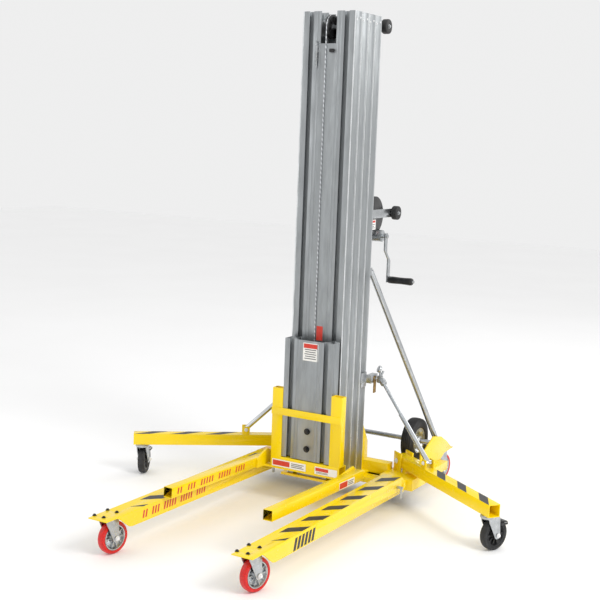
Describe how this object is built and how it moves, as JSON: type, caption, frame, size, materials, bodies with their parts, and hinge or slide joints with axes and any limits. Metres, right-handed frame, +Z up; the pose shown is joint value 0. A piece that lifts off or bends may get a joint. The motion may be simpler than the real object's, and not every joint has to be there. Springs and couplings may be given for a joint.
{
  "type": "mast material lift",
  "caption": "Wheeled telescoping mast lift with two load forks, hand winch, folding front legs and braced outriggers, for raising board, duct and beams to a ceiling.",
  "frame": {"origin": "on the floor, under the middle of the lift's bounding box, with the mast lowered and the legs down", "axes": "+Z up along the mast, -Y towards the fork tips and front casters, +X to the right side where the winch crank is"},
  "size_m": [1.7971, 1.8198, 2.0895],
  "materials": {
    "mast_aluminium": "mill finish extrusion",
    "yellow_enamel": "gloss enamel",
    "zinc_plate": "bright zinc plate",
    "chrome_rod": "chrome plate",
    "steel_cable": "galvanised wire rope",
    "slide_plastic": "UHMW polyethylene",
    "black_plastic": "moulded",
    "black_rubber": "moulded rubber",
    "brass_lever": "stamped",
    "red_polyurethane": "cast polyurethane"
  },
  "bodies": {
    "chassis": {"mast_section_1": "mast_aluminium", "base_frame": "yellow_enamel", "rear_stays": "zinc_plate", "transport_axle": "zinc_plate", "winch_frame": "zinc_plate", "winch_cover": "black_plastic", "mast_brackets": "zinc_plate", "winch_cable": "steel_cable"},
    "section_2": {"mast_section_2": "mast_aluminium", "slide_pads_2": "slide_plastic"},
    "section_3": {"mast_section_3": "mast_aluminium", "slide_pads_3": "slide_plastic"},
    "section_4": {"mast_section_4": "mast_aluminium", "slide_pads_4": "slide_plastic", "lift_cable": "steel_cable"},
    "carriage": {"carriage_section": "mast_aluminium", "carriage_pads": "slide_plastic", "carriage_frame": "yellow_enamel", "left_fork": "yellow_enamel", "right_fork": "yellow_enamel"},
    "sheave_1": {"sheave_1": "black_plastic"},
    "sheave_2": {"sheave_2": "black_plastic"},
    "sheave_3": {"sheave_3": "black_plastic"},
    "sheave_4": {"sheave_4": "black_plastic"},
    "left_front_leg": {"left_front_leg": "yellow_enamel"},
    "left_leg_pin": {"left_leg_pin": "zinc_plate"},
    "right_front_leg": {"right_front_leg": "yellow_enamel"},
    "right_leg_pin": {"right_leg_pin": "zinc_plate"},
    "left_outrigger": {"left_outrigger": "yellow_enamel"},
    "left_brace": {"left_brace": "chrome_rod"},
    "right_outrigger": {"right_outrigger": "yellow_enamel"},
    "right_brace": {"right_brace": "chrome_rod"},
    "left_front_caster_fork": {"left_front_caster_fork": "zinc_plate"},
    "left_front_caster_wheel": {"left_front_caster_tyre": "red_polyurethane", "left_front_caster_hub": "zinc_plate"},
    "left_rear_caster_fork": {"left_rear_caster_fork": "zinc_plate"},
    "left_rear_caster_wheel": {"left_rear_caster_tyre": "red_polyurethane", "left_rear_caster_hub": "zinc_plate"},
    "left_outrigger_caster_fork": {"left_outrigger_caster_fork": "zinc_plate"},
    "left_outrigger_caster_wheel": {"left_outrigger_caster_wheel": "black_rubber"},
    "right_front_caster_fork": {"right_front_caster_fork": "zinc_plate"},
    "right_front_caster_wheel": {"right_front_caster_tyre": "red_polyurethane", "right_front_caster_hub": "zinc_plate"},
    "right_rear_caster_fork": {"right_rear_caster_fork": "zinc_plate"},
    "right_rear_caster_wheel": {"right_rear_caster_tyre": "red_polyurethane", "right_rear_caster_hub": "zinc_plate"},
    "right_outrigger_caster_fork": {"right_outrigger_caster_fork": "zinc_plate"},
    "right_outrigger_caster_wheel": {"right_outrigger_caster_wheel": "black_rubber"},
    "left_transport_wheel": {"left_transport_tyre": "black_rubber", "left_transport_rim": "zinc_plate"},
    "right_transport_wheel": {"right_transport_tyre": "black_rubber", "right_transport_rim": "zinc_plate"},
    "cable_drum": {"cable_drum": "zinc_plate"},
    "winch_crank": {"winch_crank": "zinc_plate"},
    "crank_grip": {"crank_grip": "black_plastic"},
    "upper_rollers": {"upper_rollers": "black_rubber"},
    "lower_rollers": {"lower_rollers": "black_rubber"},
    "left_brace_lever": {"left_brace_lever": "brass_lever"},
    "right_brace_lever": {"right_brace_lever": "brass_lever"}
  },
  "joints": [
    {"name": "section_2_lift", "type": "slide", "parent": "chassis", "child": "section_2", "axis": [0, 0, 1], "range_m": [0, 1.22]},
    {"name": "section_3_lift", "type": "slide", "parent": "section_2", "child": "section_3", "axis": [0, 0, 1], "range_m": [0, 1.22]},
    {"name": "section_4_lift", "type": "slide", "parent": "section_3", "child": "section_4", "axis": [0, 0, 1], "range_m": [0, 1.22]},
    {"name": "carriage_lift", "type": "slide", "parent": "section_4", "child": "carriage", "axis": [0, 0, 1], "range_m": [0, 1.22], "deforming": ["lift_cable"]},
    {"name": "sheave_1_turn", "type": "hinge", "parent": "chassis", "child": "sheave_1", "pos_m": [0.009, 0.37925, 2.029], "axis": [1, 0, 0], "range_deg": [-1460, 0]},
    {"name": "sheave_2_turn", "type": "hinge", "parent": "section_2", "child": "sheave_2", "pos_m": [-0.009, 0.31875, 2.029], "axis": [1, 0, 0], "range_deg": [-1460, 0]},
    {"name": "sheave_3_turn", "type": "hinge", "parent": "section_3", "child": "sheave_3", "pos_m": [0.009, 0.25825, 2.029], "axis": [1, 0, 0], "range_deg": [-1460, 0]},
    {"name": "sheave_4_turn", "type": "hinge", "parent": "section_4", "child": "sheave_4", "pos_m": [-0.009, 0.19775, 2.029], "axis": [1, 0, 0], "range_deg": [-1460, 0]},
    {"name": "left_leg_fold", "type": "hinge", "parent": "chassis", "child": "left_front_leg", "pos_m": [-0.2963, 0.28575, 0.118], "axis": [-1, 0, 0], "range_deg": [0, 90]},
    {"name": "left_pin_pull", "type": "slide", "parent": "left_front_leg", "child": "left_leg_pin", "axis": [1, 0, 0], "range_m": [0, 0.012], "stiffness_N_per_m": 900},
    {"name": "right_leg_fold", "type": "hinge", "parent": "chassis", "child": "right_front_leg", "pos_m": [0.3343, 0.28575, 0.118], "axis": [-1, 0, 0], "range_deg": [0, 90]},
    {"name": "right_pin_pull", "type": "slide", "parent": "right_front_leg", "child": "right_leg_pin", "axis": [1, 0, 0], "range_m": [0, 0.012], "stiffness_N_per_m": 900},
    {"name": "left_outrigger_fold", "type": "hinge", "parent": "chassis", "child": "left_outrigger", "pos_m": [-0.28825, 0.46856, 0.1735], "axis": [-0.5917, 0.8061, 0], "range_deg": [0, 80]},
    {"name": "left_brace_swing", "type": "hinge", "parent": "left_outrigger", "child": "left_brace", "pos_m": [-0.46198, 0.34104, 0.222], "axis": [-0.5917, 0.8061, 0], "range_deg": [-92, 0]},
    {"name": "right_outrigger_fold", "type": "hinge", "parent": "chassis", "child": "right_outrigger", "pos_m": [0.28825, 0.46856, 0.1735], "axis": [-0.5917, -0.8061, 0], "range_deg": [0, 80]},
    {"name": "right_brace_swing", "type": "hinge", "parent": "right_outrigger", "child": "right_brace", "pos_m": [0.46198, 0.34104, 0.222], "axis": [-0.5917, -0.8061, 0], "range_deg": [-92, 0]},
    {"name": "left_front_caster_swivel", "type": "hinge", "parent": "left_front_leg", "child": "left_front_caster_fork", "pos_m": [-0.3153, -0.83925, 0.15], "axis": [0, 0, 1], "continuous": true},
    {"name": "left_front_caster_roll", "type": "hinge", "parent": "left_front_caster_fork", "child": "left_front_caster_wheel", "pos_m": [-0.30922, -0.80478, 0.0635], "axis": [0.9848, -0.1736, 0], "continuous": true},
    {"name": "left_rear_caster_swivel", "type": "hinge", "parent": "chassis", "child": "left_rear_caster_fork", "pos_m": [-0.308, 0.81075, 0.15], "axis": [0, 0, 1], "continuous": true},
    {"name": "left_rear_caster_roll", "type": "hinge", "parent": "left_rear_caster_fork", "child": "left_rear_caster_wheel", "pos_m": [-0.308, 0.84575, 0.0635], "axis": [1, 0, 0], "continuous": true},
    {"name": "left_outrigger_caster_swivel", "type": "hinge", "parent": "left_outrigger", "child": "left_outrigger_caster_fork", "pos_m": [-0.8461, 0.05908, 0.15], "axis": [0, 0, 1], "continuous": true},
    {"name": "left_outrigger_caster_roll", "type": "hinge", "parent": "left_outrigger_caster_fork", "child": "left_outrigger_caster_wheel", "pos_m": [-0.85977, 0.0913, 0.0635], "axis": [0.9205, 0.3907, 0], "continuous": true},
    {"name": "right_front_caster_swivel", "type": "hinge", "parent": "right_front_leg", "child": "right_front_caster_fork", "pos_m": [0.3153, -0.83925, 0.15], "axis": [0, 0, 1], "continuous": true},
    {"name": "right_front_caster_roll", "type": "hinge", "parent": "right_front_caster_fork", "child": "right_front_caster_wheel", "pos_m": [0.32377, -0.80529, 0.0635], "axis": [0.9703, -0.2419, 0], "continuous": true},
    {"name": "right_rear_caster_swivel", "type": "hinge", "parent": "chassis", "child": "right_rear_caster_fork", "pos_m": [0.308, 0.81075, 0.15], "axis": [0, 0, 1], "continuous": true},
    {"name": "right_rear_caster_roll", "type": "hinge", "parent": "right_rear_caster_fork", "child": "right_rear_caster_wheel", "pos_m": [0.31287, 0.84541, 0.0635], "axis": [0.9903, -0.1392, 0], "continuous": true},
    {"name": "right_outrigger_caster_swivel", "type": "hinge", "parent": "right_outrigger", "child": "right_outrigger_caster_fork", "pos_m": [0.8461, 0.05908, 0.15], "axis": [0, 0, 1], "continuous": true},
    {"name": "right_outrigger_caster_roll", "type": "hinge", "parent": "right_outrigger_caster_fork", "child": "right_outrigger_caster_wheel", "pos_m": [0.85977, 0.0913, 0.0635], "axis": [0.9205, -0.3907, 0], "continuous": true},
    {"name": "left_transport_roll", "type": "hinge", "parent": "chassis", "child": "left_transport_wheel", "pos_m": [-0.271, 0.61775, 0.232], "axis": [1, 0, 0], "continuous": true},
    {"name": "right_transport_roll", "type": "hinge", "parent": "chassis", "child": "right_transport_wheel", "pos_m": [0.271, 0.61775, 0.232], "axis": [1, 0, 0], "continuous": true},
    {"name": "drum_turn", "type": "hinge", "parent": "chassis", "child": "cable_drum", "pos_m": [0, 0.47675, 1.245], "axis": [1, 0, 0], "range_deg": [0, 1420]},
    {"name": "crank_turn", "type": "hinge", "parent": "chassis", "child": "winch_crank", "pos_m": [0, 0.51175, 1.155], "axis": [1, 0, 0], "range_deg": [-6140, 0]},
    {"name": "grip_spin", "type": "hinge", "parent": "winch_crank", "child": "crank_grip", "pos_m": [0.19, 0.54975, 0.959], "axis": [1, 0, 0], "continuous": true},
    {"name": "upper_rollers_turn", "type": "hinge", "parent": "chassis", "child": "upper_rollers", "pos_m": [0, 0.44775, 2.054], "axis": [1, 0, 0], "continuous": true},
    {"name": "lower_rollers_turn", "type": "hinge", "parent": "chassis", "child": "lower_rollers", "pos_m": [0, 0.64775, 1.252], "axis": [1, 0, 0], "continuous": true},
    {"name": "left_brace_lever_tilt", "type": "hinge", "parent": "chassis", "child": "left_brace_lever", "pos_m": [-0.151, 0.42515, 0.5313], "axis": [1, 0, 0], "range_deg": [0, 70]},
    {"name": "right_brace_lever_tilt", "type": "hinge", "parent": "chassis", "child": "right_brace_lever", "pos_m": [0.151, 0.42515, 0.5313], "axis": [1, 0, 0], "range_deg": [0, 70]}
  ],
  "couplings": [
    {"joint": "section_3_lift", "follows": "section_2_lift", "ratio": 1},
    {"joint": "section_4_lift", "follows": "section_2_lift", "ratio": 1},
    {"joint": "carriage_lift", "follows": "section_2_lift", "ratio": 1},
    {"joint": "sheave_1_turn", "follows": "section_2_lift", "rad_per_m": -20.833},
    {"joint": "sheave_2_turn", "follows": "section_2_lift", "rad_per_m": -20.833},
    {"joint": "sheave_3_turn", "follows": "section_2_lift", "rad_per_m": -20.833},
    {"joint": "sheave_4_turn", "follows": "section_2_lift", "rad_per_m": -20.833},
    {"joint": "left_brace_swing", "follows": "left_outrigger_fold", "ratio": -1.12},
    {"joint": "right_brace_swing", "follows": "right_outrigger_fold", "ratio": -1.12},
    {"joint": "drum_turn", "follows": "section_2_lift", "rad_per_m": 20.202},
    {"joint": "crank_turn", "follows": "section_2_lift", "rad_per_m": -87.222}
  ]
}
